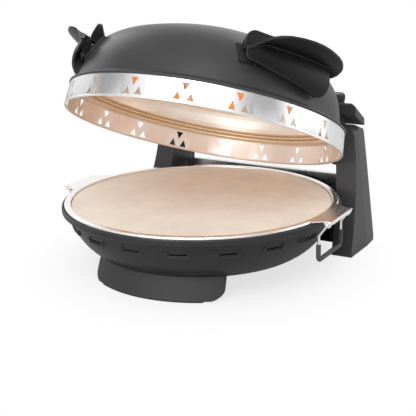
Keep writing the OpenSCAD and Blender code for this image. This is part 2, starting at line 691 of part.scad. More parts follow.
module lid_dome() color(black) on_lid() difference() {
  at_lip() rotate_extrude() dome_section();
  at_handle_screws() cylinder(r = 1.8, h = 20, center = true, $fn = 24);
  at_arm_screws() cylinder(r = 1.8, h = 20, center = true, $fn = 24);
}

module triangle(w, h, up) polygon(up ? [[-w / 2, 0], [w / 2, 0], [0, h]] : [[-w / 2, h], [w / 2, h], [0, 0]]);

module vent_group() {
  pitch = vent_width + 5.5;
  low = 3.6;
  high = low + vent_height + 0.6;
  along_y(-big, -100) {
    translate([0, high]) triangle(vent_width, vent_height, false);
    for (s = [-1, 1]) translate([s * pitch / 2, low]) triangle(vent_width, vent_height, true);
  }
}

module lid_band() color(steel) on_lid() at_lip() difference() {
  rotate_extrude() {
    polygon([[lip_r - band_wall, 0.8], [lip_r, 0.8], [band_top_r, band_height - seat],
      [band_top_r - band_wall, band_height - seat]]);
    translate([lip_r - 0.7, 1]) circle(1, $fn = 24);
  }
  round_the_axis(vent_count) vent_group();
}

// The pressed ring that closes the band to the reflector, with two beads one above the other
flange_in = lip_r - 16.4;
flange_top = band_height + 9.4;
flange_path = concat(
  [[band_top_r - band_wall - 0.3, band_height - 1.4], [flange_in + 7.5, band_height - 1.4]],
  arc(flange_in + 6.3, band_height + 1.7, 2.2, 260, 100, 6),
  arc(flange_in + 4.3, band_height + 6.1, 2, 240, 110, 6),
  [[flange_in, flange_top - 1.2]]);
module lid_flange() color(tan) on_lid() at_lip() rotate_extrude() polygon(sheet(flange_path, -1.2));

reflector_top = dome_height - 48;
reflector_rim = [flange_in + 1.6, flange_top + seat];
reflector_curve = curve([flange_in - 1, reflector_rim[1]], [flange_in - 2, reflector_top - 22],
  [flange_in - 10, reflector_top - 5], [flange_in - 33, reflector_top - 2.5], 10);
module lid_reflector() color(cream) on_lid() at_lip() difference() {
  rotate_extrude() polygon(concat([reflector_rim], reflector_curve,
    [[0, reflector_top], [0, reflector_top + 0.8]],
    reversed(beside(reflector_curve, -0.8)), [reflector_rim + [0, 0.8]]));
  at_legs(upper_ring_r) cylinder(r = element_r + 0.3, h = big, $fn = 32);
}

module lid_insulation() color(cream) on_lid() at_lip()
  translate([0, 0, reflector_top + 0.8 + seat]) difference() {
  cylinder(r = upper_ring_r - 18, h = 16);
  translate([60, 0, -1]) cylinder(r = 14, h = 30);
}

upper_h = reflector_top - 13;
module upper_element() color(glow) on_lid() at_lip()
  translate([0, 0, upper_h]) ring_element(upper_ring_r, 0, 22);

module upper_element_clips() color(steel) on_lid() at_lip() round_the_axis(clip_count, 45) difference() {
  clip_low = upper_h - element_r - 1.5;
  translate([upper_ring_r - 6, -5, clip_low]) cube([12, 10, reflector_top - 2.6 - clip_low]);
  translate([upper_ring_r, -6, upper_h]) rotate([-90, 0, 0])
    cylinder(r = element_r + 3 * seat, h = 12, $fn = 32);
  translate([upper_ring_r - 4, -6, upper_h + element_r + 1.5]) cube([8, 12, 20]);
}

module lid_fuse() color(brass) on_lid() at_lip() translate([60, 0, reflector_top + 0.3]) {
  cylinder(r = 9, h = 6, $fn = 48);
  translate([0, 0, 6]) cylinder(r = 7, h = 5, $fn = 48);
  for (s = [-1, 1]) translate([s * 4 - 1.5, -0.4, 10]) cube([3, 0.8, 6]);
}

// ---------- Lid handles ----------

// In a handle's own frame X runs out from the lid's axis, Y along the handle and Z up from handle_z.
// Its sections are drawn outwards from handle_r.
handle_z = dome_height - 47;
handle_r = lip_r - 0.9;
module at_handle() at_lip() rotate([0, 0, handle_angle - 90]) translate([0, 0, handle_z]) children();
module turned_handle() rotate([0, 0, -30]) rotate_extrude(angle = 60) translate([handle_r, 0]) children();
module across_handle() rotate([90, 0, 90]) linear_extrude(big) children();

// The outer wing: a thin shell that rises to its tip, and thicker in the middle
wing_tip = [handle_out + 0.9, 18.5];
wing_plan = concat([[-36, -handle_half], [-15, -handle_half - 1]],
  softened([[-13, -handle_half - 1], [-6.3, -49], [0.5, -35], [8.7, -21.4], [14.6, -8],
    [wing_tip[0] + 0.3, 4], [14.6, 18], [10.7, 33], [3.7, 50], [-3, 61.5], [-9, 66], [-17, 64]]),
  [[-26, handle_half - 2], [-36, handle_half - 6]]);
module handle_wing() intersection() {
  union() {
    intersection() {
      turned_handle() polygon([[-30, 0.5], [-30, 4], [-15, 5], [-1, 10.5], [10, 15.5], wing_tip,
        wing_tip + [0.6, -2], [10, 11.5], [-1, 6], [-13, 1]]);
      across_handle() polygon([[-62, -15], [-60, -4], [-44, 3], [-31, 15], [-14, 25], [70, 25], [70, -15]]);
    }
    intersection() {
      turned_handle() polygon([[-30, -3], [-30, 3], [-15, 4], [-1, 9.5], [10, 14.5], wing_tip - [1, 2],
        [10, 9], [2, 2.5], [-6, -3]]);
      across_handle() polygon([[-38, -15], [-30, 1], [-8, 25], [70, 25], [70, -15]]);
    }
  }
  translate([handle_r, 0, -20]) linear_extrude(60) polygon(wing_plan);
}

// The upright inner blade
blade_half = handle_half - 4;
blade_top = 21;
module handle_blade() intersection() {
  corner = 14;
  along_y(-blade_half, blade_half) translate([handle_r, 0]) polygon([
    [-38, -5], [-33.3, 8], [-28.5, blade_top], [-24.7, blade_top], [-19, 2], [-19, -5]]);
  across_handle() polygon(concat(
    arc(blade_half - corner, blade_top - corner, corner, 0, 90, 8),
    arc(-blade_half + corner, blade_top - corner, corner, 90, 180, 8),
    [[-blade_half, -25], [blade_half, -25]]));
}

// The curved plate that keeps fingers off the dome
module handle_guard() intersection() {
  turned_handle() polygon(sheet(curve([-5, -37], [2, -25], [2, -11], [-5.5, 4.5], 8), 3.6));
  across_handle() polygon(concat([[-handle_half - 2, 7]], arc(-handle_half + 4.5, -11.5, 6.5, 180, 250, 5),
    [[-19, -24.2]], arc(36, -23, 10.5, -98, 0, 6), [[51, 7]]));
}

// The block that joins the wing, the blade and the guard to the dome
module handle_block() intersection() {
  turned_handle() polygon([[-76, 21], [-76, -25], [-22, -21], [-5, -16.5], [-4, -2], [-16, 1], [-28, 3]]);
  across_handle() polygon([[-47, -35], [46, -35], [46, 15], [-47, 15]]);
}

pad_lift = 3;
module lid_handle() difference() {
  at_handle() { handle_wing(); handle_blade(); handle_guard(); handle_block(); }
  dome_solid(pad_lift + seat);
  at_handle_screws() cylinder(r = 1.6, h = 9, $fn = 24);
}

module handle_pad() difference() {
  intersection() {
    at_handle() turned_handle() polygon([[-40, 4], [-40, -21], [-18, -21], [-4, -13], [-16, 4]]);
    at_handle() across_handle() polygon([[-58, -40], [52, -40], [52, 40], [-58, 40]]);
    dome_solid(pad_lift);
  }
  dome_solid(seat);
  at_handle_screws() cylinder(r = 1.8, h = 20, center = true, $fn = 24);
}

module right_lid_handle() color(charcoal) on_lid() lid_handle();
module left_lid_handle() color(charcoal) on_lid() left_side() lid_handle();
module right_handle_pad() color(black) on_lid() handle_pad();
module left_handle_pad() color(black) on_lid() left_side() handle_pad();

module handle_screws() color(steel) on_lid() at_handle_screws() inner_screw(dome_wall + 8);

// ---------- Lid arms ----------

module lid_arm() difference() {
  along_x(arm_in, arm_out) union() {
    translate([hinge_y, hinge_z]) circle(12);
    polygon(concat([[hinge_y - 80.2, lid_z + 36.5], [hinge_y - 50, lid_z + 34]],
      arc(hinge_y, hinge_z, 12, -110, 60, 10),
      [[hinge_y - 34, hinge_z + 26], [hinge_y - 80.2, hinge_z + 46]]));
  }
  dome_solid(seat);
  translate([0, hinge_y, hinge_z]) rotate([0, 90, 0]) cylinder(r = pin_r + pin_play, h = big);
  at_arm_screws() translate([0, 0, -2]) cylinder(r = 1.7, h = 7, $fn = 24);
}

module right_lid_arm() color(charcoal) on_lid() lid_arm();
module left_lid_arm() color(charcoal) on_lid() left_side() lid_arm();
module arm_screws() color(steel) on_lid() at_arm_screws() inner_screw(dome_wall + 4);

base_bowl();
base_reflector();
lower_element();
lower_element_clips();
bottom_plate();
bottom_screws();
front_foot();
foot_pads();
rear_housing();
rear_bridge();
cord_gland();
terminal_block();
right_tower();
left_tower();
right_tower_back();
left_tower_back();
tower_back_screws();
right_tower_head();
left_tower_head();
hinge_pins();
thermostat();
pizza_stone();
tray_hoop();
right_bail();
left_bail();
right_bail_sleeve();
left_bail_sleeve();
lid_dome();
lid_band();
lid_flange();
lid_reflector();
lid_insulation();
upper_element();
upper_element_clips();
lid_fuse();
right_lid_handle();
left_lid_handle();
right_handle_pad();
left_handle_pad();
handle_screws();
right_lid_arm();
left_lid_arm();
arm_screws();
thermostat_knob();
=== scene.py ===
import math

import bmesh
import bpy
from mathutils import Matrix, Vector
from mathutils.geometry import interpolate_bezier


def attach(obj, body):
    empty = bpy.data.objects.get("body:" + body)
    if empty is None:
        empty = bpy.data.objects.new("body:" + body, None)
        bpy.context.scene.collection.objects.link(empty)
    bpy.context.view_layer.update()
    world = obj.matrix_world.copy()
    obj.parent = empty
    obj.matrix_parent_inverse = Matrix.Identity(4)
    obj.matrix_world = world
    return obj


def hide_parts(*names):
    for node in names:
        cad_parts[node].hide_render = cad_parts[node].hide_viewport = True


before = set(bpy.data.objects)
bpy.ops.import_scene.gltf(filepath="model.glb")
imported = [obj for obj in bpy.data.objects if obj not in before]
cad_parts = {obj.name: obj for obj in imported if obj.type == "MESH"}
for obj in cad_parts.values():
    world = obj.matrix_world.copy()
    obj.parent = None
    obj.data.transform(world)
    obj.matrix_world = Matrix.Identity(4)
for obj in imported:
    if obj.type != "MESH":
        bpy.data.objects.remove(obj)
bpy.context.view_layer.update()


# ---------- Base bowl ----------
# A deep-drawn steel bowl with a rolled rim and eighteen pressed vents, coated in satin black
# enamel. The coat has a faint orange-peel ripple, and a paler line is painted along its edges as a
# highlight.

def put(tree, kind, feeds=(), **settings):
    """Adds a node to a tree. A feed that is a socket is linked, and any other is set as a value."""
    node = tree.nodes.new("ShaderNode" + kind)
    for key, value in settings.items():
        setattr(node, key, value)
    for key, value in feeds.items() if isinstance(feeds, dict) else enumerate(feeds):
        if isinstance(value, bpy.types.NodeSocket):
            tree.links.new(value, node.inputs[key])
        elif value is not None:
            node.inputs[key].default_value = value
    return node


def start_effect(name, takes, gives):
    """Starts a shader node group, and returns its tree, what it takes and what it gives."""
    tree = bpy.data.node_groups.new(name, "ShaderNodeTree")
    for label, kind, value in takes:
        socket = tree.interface.new_socket(label, in_out="INPUT", socket_type="NodeSocket" + kind)
        socket.default_value = value
    for label, kind in gives:
        tree.interface.new_socket(label, in_out="OUTPUT", socket_type="NodeSocket" + kind)
    return tree, tree.nodes.new("NodeGroupInput").outputs, tree.nodes.new("NodeGroupOutput").inputs


def give(tree, gives, **results):
    """Links an effect's results to the sockets that it gives."""
    for label, socket in results.items():
        tree.links.new(socket, gives[label])


mask_gain = 5.0
surface_gives = [("Color", "Color"), ("Roughness", "Float"), ("Height", "Float")]


def soft_edge_effect():
    """A normal that rounds sharp edges over, and a mask that is 1 along them, where a finish can paint a
    highlight.
    """
    tree, takes, gives = start_effect("soft_edge", [("Radius", "Float", 0.0008)],
                                      [("Normal", "Vector"), ("Edge", "Float")])
    rounded = put(tree, "Bevel", [takes["Radius"]], samples=6)
    flat = put(tree, "NewGeometry")
    dot = put(tree, "VectorMath", [rounded.outputs[0], flat.outputs["Normal"]], operation="DOT_PRODUCT")
    away = put(tree, "Math", [1.0, dot.outputs["Value"]], operation="SUBTRACT")
    mask = put(tree, "Math", [away.outputs[0], mask_gain], operation="MULTIPLY", use_clamp=True)
    give(tree, gives, Normal=rounded.outputs[0], Edge=mask.outputs[0])
    return tree


def enamel_effect():
    """A sprayed and baked coat: slow drifts of tone and gloss, and a fine ripple."""
    tree, takes, gives = start_effect(
        "baked_enamel", [("Tone", "Color", (0.02, 0.02, 0.02, 1)), ("Gloss", "Float", 0.4),
                         ("Ripple", "Float", 900.0)], surface_gives)
    place = put(tree, "TexCoord").outputs["Object"]
    drift = put(tree, "TexNoise", {"Vector": place, "Scale": 14.0, "Detail": 3.0})
    ripple = put(tree, "TexNoise", {"Vector": place, "Scale": takes["Ripple"], "Detail": 2.0})
    shade = put(tree, "MapRange", [drift.outputs[0], 0.3, 0.7, 0.88, 1.14])
    tone = put(tree, "VectorMath", {0: takes["Tone"], "Scale": shade.outputs[0]}, operation="SCALE")
    gloss = put(tree, "MapRange", [drift.outputs[0], 0.3, 0.7, -0.03, 0.04])
    rough = put(tree, "Math", [takes["Gloss"], gloss.outputs[0]], operation="ADD")
    give(tree, gives, Color=tone.outputs[0], Roughness=rough.outputs[0], Height=ripple.outputs[0])
    return tree


def finish_of(name, effect, values, edge=0.0008, edge_highlight_tone=None, edge_highlight_share=0.0,
              bump=0.1, depth=0.0001, **own):
    """A material whose colour, gloss and relief come from an effect, with rounded edges and a highlight
    painted along them.
    """
    made = bpy.data.materials.new(name)
    made.use_nodes = True
    tree = made.node_tree
    shader = tree.nodes["Principled BSDF"]
    for key, value in own.items():
        shader.inputs[key.replace("_", " ")].default_value = value
    pattern = put(tree, "Group", values, node_tree=effect)
    rounding_and_highlight = put(tree, "Group", {"Radius": edge}, node_tree=soft_edge)
    colour = pattern.outputs["Color"]
    # a paler edge colour mixed in along sharp edges is a painted highlight
    if edge_highlight_tone:
        share = put(tree, "Math", [rounding_and_highlight.outputs["Edge"], edge_highlight_share], operation="MULTIPLY")
        colour = put(tree, "Mix", {0: share.outputs[0], 6: colour, 7: (*edge_highlight_tone, 1)},
                     data_type="RGBA").outputs[2]
    relief = put(tree, "Bump", {"Strength": bump, "Distance": depth, "Height": pattern.outputs["Height"],
                                "Normal": rounding_and_highlight.outputs["Normal"]})
    tree.links.new(colour, shader.inputs["Base Color"])
    tree.links.new(pattern.outputs["Roughness"], shader.inputs["Roughness"])
    tree.links.new(relief.outputs[0], shader.inputs["Normal"])
    return made


def paint(finish, *names):
    """Gives a finish to nodes that are shown as they were packed."""
    for name in names:
        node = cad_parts[name]
        node.data.materials.clear()
        node.data.materials.append(finish)


soft_edge = soft_edge_effect()
baked_enamel = enamel_effect()
# the paler edge tone paints a highlight along the enamel's edges
black_enamel = finish_of("black_enamel", baked_enamel, {"Tone": (0.026, 0.026, 0.027, 1), "Gloss": 0.38},
                         edge=0.0014, edge_highlight_tone=(0.16, 0.16, 0.16), edge_highlight_share=0.35, bump=0.06,
                         Specular_IOR_Level=0.20)
paint(black_enamel, "base_bowl")


# ---------- Lower heater ----------
# A bright aluminised pan under the tray throws the heat up. The tubular element stands over it
# in four folded clips, and a vented plate closes the bowl from below.

def brushed_effect():
    """Fine lines that a belt leaves round an axis, drawn in the place that it is given."""
    tree, takes, gives = start_effect(
        "brushed_round", [("Place", "Vector", (0, 0, 0)), ("Tone", "Color", (0.75, 0.75, 0.75, 1)),
                          ("Gloss", "Float", 0.25), ("Streak", "Float", 0.08)], surface_gives)
    parts = put(tree, "SeparateXYZ", [takes["Place"]])
    behind = put(tree, "Math", [parts.outputs[1], -1.0], operation="MULTIPLY")
    bearing = put(tree, "Math", [parts.outputs[0], behind.outputs[0]], operation="ARCTAN2")
    flat = put(tree, "CombineXYZ", [parts.outputs[0], parts.outputs[1], 0.0])
    reach = put(tree, "VectorMath", [flat.outputs[0]], operation="LENGTH")
    slow = put(tree, "Math", [bearing.outputs[0], 0.004], operation="MULTIPLY")
    lines = put(tree, "CombineXYZ", [slow.outputs[0], reach.outputs["Value"], parts.outputs[2]])
    streaks = put(tree, "TexNoise", {"Vector": lines.outputs[0], "Scale": 1400.0, "Detail": 4.0,
                                     "Roughness": 0.7})
    clouds = put(tree, "TexNoise", {"Vector": takes["Place"], "Scale": 18.0, "Detail": 2.0})
    centred = put(tree, "MapRange", [streaks.outputs[0], 0.25, 0.75, -1.0, 1.0])
    share = put(tree, "Math", [centred.outputs[0], takes["Streak"]], operation="MULTIPLY")
    drift = put(tree, "MapRange", [clouds.outputs[0], 0.3, 0.7, 0.95, 1.03])
    shade = put(tree, "Math", [share.outputs[0], drift.outputs[0]], operation="ADD")
    tone = put(tree, "VectorMath", {0: takes["Tone"], "Scale": shade.outputs[0]}, operation="SCALE")
    rough = put(tree, "Math", [takes["Gloss"], share.outputs[0]], operation="ADD")
    give(tree, gives, Color=tone.outputs[0], Roughness=rough.outputs[0], Height=streaks.outputs[0])
    return tree


def heated_effect():
    """A sheath or sheet that has been hot: straw and grey clouds, and small specks of scale."""
    tree, takes, gives = start_effect(
        "heat_tint", [("Tone", "Color", (0.3, 0.28, 0.26, 1)), ("Tint", "Color", (0.4, 0.25, 0.12, 1)),
                      ("Share", "Float", 0.5), ("Gloss", "Float", 0.4)], surface_gives)
    place = put(tree, "TexCoord").outputs["Object"]
    clouds = put(tree, "TexNoise", {"Vector": place, "Scale": 26.0, "Detail": 4.0})
    specks = put(tree, "TexNoise", {"Vector": place, "Scale": 420.0, "Detail": 3.0})
    cover = put(tree, "MapRange", [clouds.outputs[0], 0.38, 0.66, 0.0, 1.0])
    amount = put(tree, "Math", [cover.outputs[0], takes["Share"]], operation="MULTIPLY")
    mixed = put(tree, "Mix", {0: amount.outputs[0], 6: takes["Tone"], 7: takes["Tint"]},
                data_type="RGBA")
    shade = put(tree, "MapRange", [specks.outputs[0], 0.3, 0.7, 0.97, 1.02])
    tone = put(tree, "VectorMath", {0: mixed.outputs[2], "Scale": shade.outputs[0]}, operation="SCALE")
    gloss = put(tree, "MapRange", [clouds.outputs[0], 0.3, 0.7, -0.05, 0.08])
    rough = put(tree, "Math", [takes["Gloss"], gloss.outputs[0]], operation="ADD")
    give(tree, gives, Color=tone.outputs[0], Roughness=rough.outputs[0], Height=specks.outputs[0])
    return tree


def brushed_finish(name, values, location=(0, 0, 0), turn=0.0, **own):
    """Steel brushed round an upright axis at location, which turn leans about X."""
    finish = finish_of(name, brushed_round, values, **own)
    tree = finish.node_tree
    place = put(tree, "TexCoord").outputs["Object"]
    centred = put(tree, "Mapping", {"Vector": place, "Location": location, "Rotation": (turn, 0, 0)},
                  vector_type="TEXTURE")
    pattern = next(n for n in tree.nodes if n.type == "GROUP" and n.node_tree == brushed_round)
    tree.links.new(centred.outputs[0], pattern.inputs["Place"])
    return finish


brushed_round = brushed_effect()
heat_tint = heated_effect()
bowl_axis = Vector((0, -0.0155, 0))
aluminised = brushed_finish("aluminised", {"Tone": (0.74, 0.73, 0.71, 1), "Gloss": 0.34, "Streak": 0.04},
                            bowl_axis, edge=0.0004, bump=0.05, Metallic=1.0)
cold_sheath = finish_of("cold_sheath", heat_tint,
                        {"Tone": (0.10, 0.095, 0.09, 1), "Tint": (0.17, 0.13, 0.10, 1),
                         "Share": 0.8, "Gloss": 0.48}, edge=0.0004, bump=0.3, Metallic=0.6)
grey_enamel = finish_of("grey_enamel", baked_enamel, {"Tone": (0.03, 0.03, 0.032, 1), "Gloss": 0.5},
                        bump=0.1)
zinc = finish_of("zinc", heat_tint,
                 {"Tone": (0.55, 0.55, 0.56, 1), "Tint": (0.46, 0.46, 0.44, 1), "Gloss": 0.3},
                 edge=0.0003, bump=0.08, Metallic=1.0)
paint(aluminised, "base_reflector", "lower_element_clips")
paint(cold_sheath, "lower_element")
paint(grey_enamel, "bottom_plate")
paint(zinc, "bottom_screws")


# ---------- Feet ----------
# The front foot is one curved moulding in glass-filled plastic, screwed to the bowl's floor.
# It and the towers stand on thin rubber pads.

def moulded_effect():
    """The spark-eroded grain of a mould, printed in the plastic, with a slight drift of gloss."""
    tree, takes, gives = start_effect(
        "moulded_grain", [("Tone", "Color", (0.03, 0.03, 0.03, 1)), ("Gloss", "Float", 0.5),
                          ("Grain", "Float", 1500.0)], surface_gives)
    place = put(tree, "TexCoord").outputs["Object"]
    grain = put(tree, "TexVoronoi", {"Vector": place, "Scale": takes["Grain"]}, feature="SMOOTH_F1")
    drift = put(tree, "TexNoise", {"Vector": place, "Scale": 22.0, "Detail": 3.0})
    shade = put(tree, "MapRange", [drift.outputs[0], 0.3, 0.7, 0.9, 1.1])
    tone = put(tree, "VectorMath", {0: takes["Tone"], "Scale": shade.outputs[0]}, operation="SCALE")
    gloss = put(tree, "MapRange", [drift.outputs[0], 0.3, 0.7, -0.04, 0.05])
    rough = put(tree, "Math", [takes["Gloss"], gloss.outputs[0]], operation="ADD")
    give(tree, gives, Color=tone.outputs[0], Roughness=rough.outputs[0],
         Height=grain.outputs["Distance"])
    return tree


moulded_grain = moulded_effect()
# the paler edge tone paints a highlight along the foot's edges
foot_plastic = finish_of("foot_plastic", moulded_grain,
                         {"Tone": (0.036, 0.036, 0.037, 1), "Gloss": 0.52},
                         edge=0.0012, edge_highlight_tone=(0.09, 0.09, 0.09), edge_highlight_share=0.4, bump=0.12,
                         Specular_IOR_Level=0.3)
pad_rubber = finish_of("pad_rubber", moulded_grain,
                       {"Tone": (0.02, 0.02, 0.02, 1), "Gloss": 0.8, "Grain": 900.0}, bump=0.2)
paint(foot_plastic, "front_foot")
paint(pad_rubber, "foot_pads")


# ---------- Rear housing ----------
# A moulded box between the towers holds the wiring. The supply cord enters through a rubber
# gland, and a folded steel bridge ties the towers together behind the tray.

housing_plastic = finish_of("housing_plastic", moulded_grain,
                            {"Tone": (0.016, 0.016, 0.017, 1), "Gloss": 0.58},
                            bump=0.15, Specular_IOR_Level=0.25)
steatite = finish_of("steatite", heat_tint,
                     {"Tone": (0.80, 0.76, 0.68, 1), "Tint": (0.72, 0.66, 0.56, 1), "Gloss": 0.35},
                     edge=0.0005, bump=0.1)
bridge_steel = finish_of("bridge_steel", heat_tint,
                         {"Tone": (0.72, 0.71, 0.70, 1), "Tint": (0.66, 0.63, 0.60, 1),
                          "Gloss": 0.26}, edge=0.0005, bump=0.05, Metallic=1.0)
paint(housing_plastic, "rear_housing")
paint(bridge_steel, "rear_bridge")
paint(pad_rubber, "cord_gland")
paint(steatite, "terminal_block")


# ---------- Towers ----------
# Two moulded towers carry the lid. Each is a shell with a screwed back cover, and its head
# stands on a neck over a shadow gap. Steel pins run from the towers through the lid's arms.

# the paler edge tone paints a highlight along the towers' edges
tower_plastic = finish_of("tower_plastic", moulded_grain,
                          {"Tone": (0.052, 0.052, 0.054, 1), "Gloss": 0.46},
                          edge=0.0014, edge_highlight_tone=(0.12, 0.12, 0.12), edge_highlight_share=0.4, bump=0.1,
                          Specular_IOR_Level=0.3)
paint(tower_plastic, "right_tower", "left_tower", "right_tower_head", "left_tower_head")
paint(housing_plastic, "right_tower_back", "left_tower_back")
paint(zinc, "tower_back_screws", "hinge_pins")


# ---------- Thermostat ----------
# The thermostat stands in the right head. A ribbed plastic knob is pushed onto its steel shaft,
# and has a pointer sunk in its top.

# the paler edge tone paints a highlight along the knob's edges
knob_plastic = finish_of("knob_plastic", moulded_grain,
                         {"Tone": (0.028, 0.028, 0.030, 1), "Gloss": 0.42},
                         edge=0.0005, edge_highlight_tone=(0.12, 0.12, 0.12), edge_highlight_share=0.4, bump=0.08)
paint(zinc, "thermostat")
paint(knob_plastic, "thermostat_knob")


# ---------- Tray ----------
# A cordierite baking stone lies in a spun hoop of brushed stainless steel. The stone is
# unglazed: a pale cream body with fine sand in it, and a few darker grains.

def stone_effect():
    """An unglazed fired body, with sand, dark grains and shallow pores."""
    tree, takes, gives = start_effect(
        "fired_body", [("Tone", "Color", (0.8, 0.72, 0.6, 1)), ("Gloss", "Float", 0.85)],
        surface_gives)
    place = put(tree, "TexCoord").outputs["Object"]
    clouds = put(tree, "TexNoise", {"Vector": place, "Scale": 30.0, "Detail": 5.0})
    sand = put(tree, "TexNoise", {"Vector": place, "Scale": 700.0, "Detail": 4.0, "Roughness": 0.7})
    grains = put(tree, "TexVoronoi", {"Vector": place, "Scale": 260.0})
    shade = put(tree, "MapRange", [clouds.outputs[0], 0.3, 0.7, 0.93, 1.05])
    fine = put(tree, "MapRange", [sand.outputs[0], 0.3, 0.7, 0.93, 1.05])
    both = put(tree, "Math", [shade.outputs[0], fine.outputs[0]], operation="MULTIPLY")
    body = put(tree, "VectorMath", {0: takes["Tone"], "Scale": both.outputs[0]}, operation="SCALE")
    dark = put(tree, "MapRange", [grains.outputs["Distance"], 0.08, 0.16, 0.45, 0.0])
    mixed = put(tree, "Mix", {0: dark.outputs[0], 6: body.outputs[0], 7: (0.42, 0.33, 0.25, 1)},
                data_type="RGBA")
    give(tree, gives, Color=mixed.outputs[2], Roughness=takes["Gloss"], Height=sand.outputs[0])
    return tree


fired_body = stone_effect()
stone = finish_of("stone", fired_body, {"Tone": (0.90, 0.83, 0.73, 1), "Gloss": 0.86},
                  edge=0.0008, bump=0.35, depth=0.0002)
hoop_steel = brushed_finish("hoop_steel", {"Tone": (0.90, 0.88, 0.86, 1), "Gloss": 0.24, "Streak": 0.07},
                            bowl_axis, edge=0.0006, bump=0.04, Metallic=1.0)
paint(stone, "pizza_stone")
paint(hoop_steel, "tray_hoop")


# ---------- Tray handles ----------
# Each handle is a chromed wire that swings in the tab's two lugs, with a silicone sleeve
# pulled over its grip.

chrome = finish_of("chrome", heat_tint,
                   {"Tone": (0.80, 0.80, 0.81, 1), "Tint": (0.74, 0.74, 0.75, 1), "Gloss": 0.12},
                   edge=0.0003, bump=0.02, Metallic=1.0)
sleeve_silicone = finish_of("sleeve_silicone", moulded_grain,
                            {"Tone": (0.050, 0.050, 0.052, 1), "Gloss": 0.62},
                            edge=0.0004, bump=0.12)
paint(chrome, "right_bail", "left_bail")
paint(sleeve_silicone, "right_bail_sleeve", "left_bail_sleeve")


# ---------- Lid dome ----------
# A spun steel dome in charcoal enamel, turned over a bead where it meets the band. It is one
# smooth surface from the bead to the crown, and it is drawn level and then swung open.

lid_open = math.radians(-23.94)
hinge = Vector((0, 0.1802, 0.1072))
lip_height = 0.0851
open_lid = (Matrix.Translation(bowl_axis) @ Matrix.Translation(hinge) @ Matrix.Rotation(lid_open, 4, "X")
            @ Matrix.Translation(-hinge) @ Matrix.Translation((0, 0, lip_height)))


def flat_curve(start, towards, back_from, end, points):
    """Points of a cubic curve in a plane through the axis, given as (radius, height) in millimetres."""
    corners = [Vector((r / 1000, 0, z / 1000)) for r, z in (start, towards, back_from, end)]
    return interpolate_bezier(*corners, points)


def as_piece(name, shape, place, finishes, body, wall=0.0, crease=35):
    """Puts a shape in its place as a piece that rides on a body. A second finish is for its inside."""
    for face in shape.faces:
        face.smooth = True
    for edge in shape.edges:
        edge.smooth = len(edge.link_faces) == 2 and edge.calc_face_angle() < math.radians(crease)
    bmesh.ops.transform(shape, matrix=place, verts=shape.verts)
    mesh = bpy.data.meshes.new(name)
    shape.to_mesh(mesh)
    shape.free()
    piece = bpy.data.objects.new(name, mesh)
    bpy.context.scene.collection.objects.link(piece)
    for finish in finishes:
        mesh.materials.append(finish)
    if wall:
        plate = piece.modifiers.new("wall", "SOLIDIFY")
        plate.thickness, plate.offset = wall, -1
        plate.material_offset = len(finishes) - 1
    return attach(piece, body)


def turned(profile, steps, angle=math.tau):
    """Spins a profile, drawn in front of the axis, and joins it."""
    shape = bmesh.new()
    points = [shape.verts.new(p) for p in profile]
    edges = [shape.edges.new(pair) for pair in zip(points, points[1:])]
    bmesh.ops.spin(shape, geom=points + edges, cent=(0, 0, 0), axis=(0, 0, 1), angle=angle, steps=steps,
                   use_merge=angle == math.tau)
    bmesh.ops.remove_doubles(shape, verts=shape.verts, dist=1e-6)
    bmesh.ops.recalc_face_normals(shape, faces=shape.faces)
    return shape


dome_enamel = finish_of("dome_enamel", baked_enamel,
                        {"Tone": (0.044, 0.044, 0.045, 1), "Gloss": 0.38, "Ripple": 1100.0},
                        edge=0.0006, bump=0.05, Specular_IOR_Level=0.28)
bead_reach, bead_height, bead_radius = 0.1644, 0.0277, 0.0017
bead_root = Vector((0.1618, 0, 0.0302))
shoulder, crown = (114, 97), (0, 122)
bead = [Vector((bead_reach + bead_radius * math.cos(a), 0, bead_height + bead_radius * math.sin(a)))
        for a in (math.radians(-90 + 15 * i) for i in range(13))]
dome_profile = bead + [bead_root] + flat_curve((158.6, 32.5), (152.5, 60), (149, 82), shoulder, 30)
dome_profile += flat_curve(shoulder, (78, 111.5), (38, 122), crown, 22)[1:]
dome = as_piece("lid_shell", turned(dome_profile, 192), open_lid, [dome_enamel], "lid")
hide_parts("lid_dome")


# ---------- Lid band ----------
# A rolled band of brushed stainless steel with a curled lip, pierced with groups of three vents.
# The dome's bead sits on its upper edge, and the heat has tinted its inside.

lip_radius, band_top_radius, band_height, band_wall = 0.1669, 0.1648, 0.0259, 0.001
curl_reach, curl_radius = 0.16612, 0.00108
curl_root = (lip_radius - 0.00013, 0.0024)
vent_groups, vent_width, vent_height = 18, 0.0088, 0.0092
vent_low, vent_gap, vent_reach = 0.0036, 0.0006, 0.00715


def pierce(shape, corners):
    """Cuts a triangle out of a shape's front. Its (x, z) corners run clockwise from the front."""
    xs, zs = zip(*corners)
    sides = list(zip(corners, corners[1:] + corners[:1]))
    for (x0, z0), (x1, z1) in sides:
        near = [f for f in shape.faces
                if min(v.co.x for v in f.verts) < max(xs) and max(v.co.x for v in f.verts) > min(xs)
                and min(v.co.z for v in f.verts) < max(zs) and max(v.co.z for v in f.verts) > min(zs)]
        around = list({e for f in near for e in f.edges}) + list({v for f in near for v in f.verts})
        bmesh.ops.bisect_plane(shape, geom=near + around, dist=1e-7, plane_co=(x0, 0, z0),
                               plane_no=(z1 - z0, 0, x0 - x1))
    inside = []
    for face in shape.faces:
        middle = face.calc_center_median()
        if all((middle.x - x0) * (z1 - z0) - (middle.z - z0) * (x1 - x0) > 0
               for (x0, z0), (x1, z1) in sides):
            inside.append(face)
    bmesh.ops.delete(shape, geom=inside, context="FACES")


